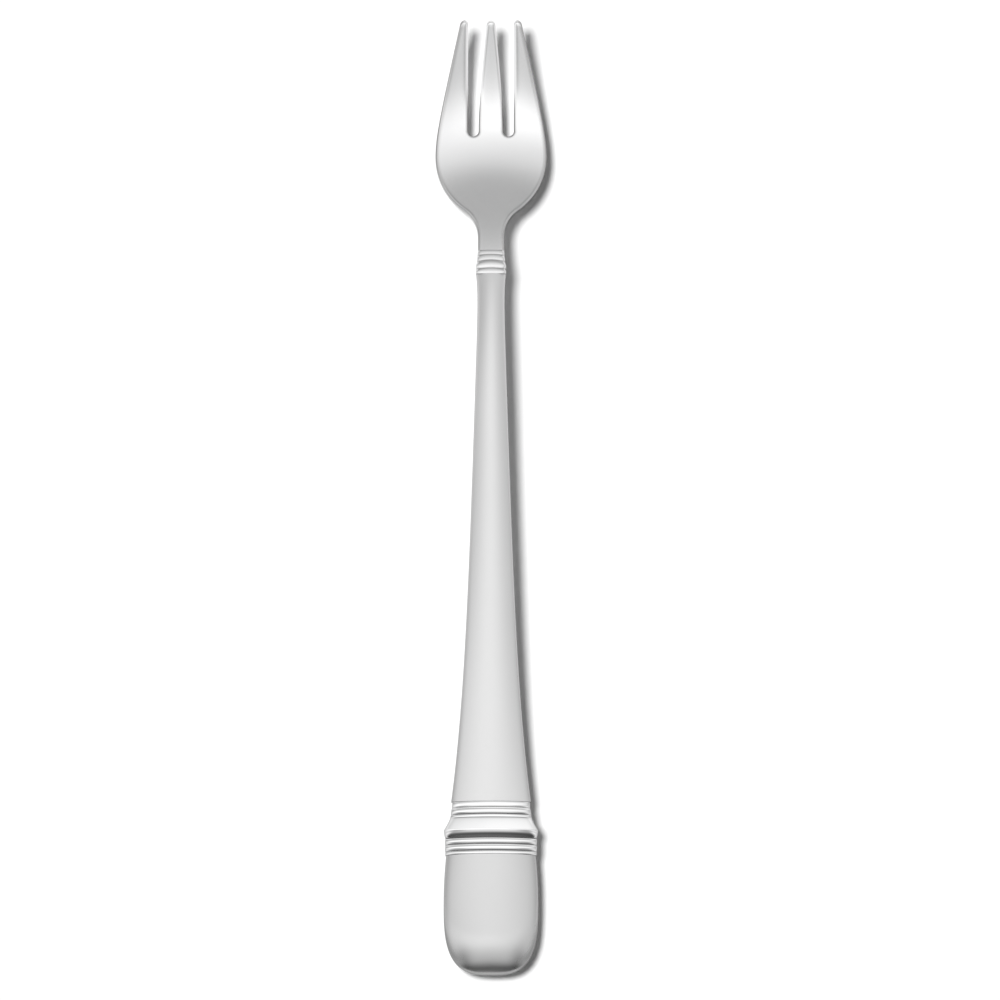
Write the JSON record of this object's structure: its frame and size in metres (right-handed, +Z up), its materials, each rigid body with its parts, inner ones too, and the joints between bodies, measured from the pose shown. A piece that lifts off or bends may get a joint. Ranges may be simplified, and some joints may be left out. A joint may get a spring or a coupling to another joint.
{
  "type": "oyster fork",
  "caption": "Slim oyster fork with tapering tines on a small dished head, a beaded neck ring, a flaring satin handle, a polished stepped collar and a rounded end cap.",
  "frame": {"origin": "middle of the fork's length and width, at table height, with the fork lying on its back", "axes": "+Y from the handle's end to the tine tips, +Z up from the table through the hollow side of the head, +X to the right of the tines seen from above"},
  "size_m": [0.0178, 0.155, 0.0071],
  "materials": {
    "polished_steel": "polished stainless steel",
    "mirror_steel": "mirror-polished stainless steel",
    "satin_steel": "satin stainless steel with a fine lengthwise grain",
    "cement": "dull resin cement, hidden inside the handle"
  },
  "bodies": {
    "root": {"fork_head": "polished_steel", "neck_ring": "mirror_steel", "handle_front_shell": "satin_steel", "handle_back_shell": "satin_steel", "handle_filler": "cement", "collar_ring": "mirror_steel", "end_cap": "satin_steel"}
  },
  "joints": []
}
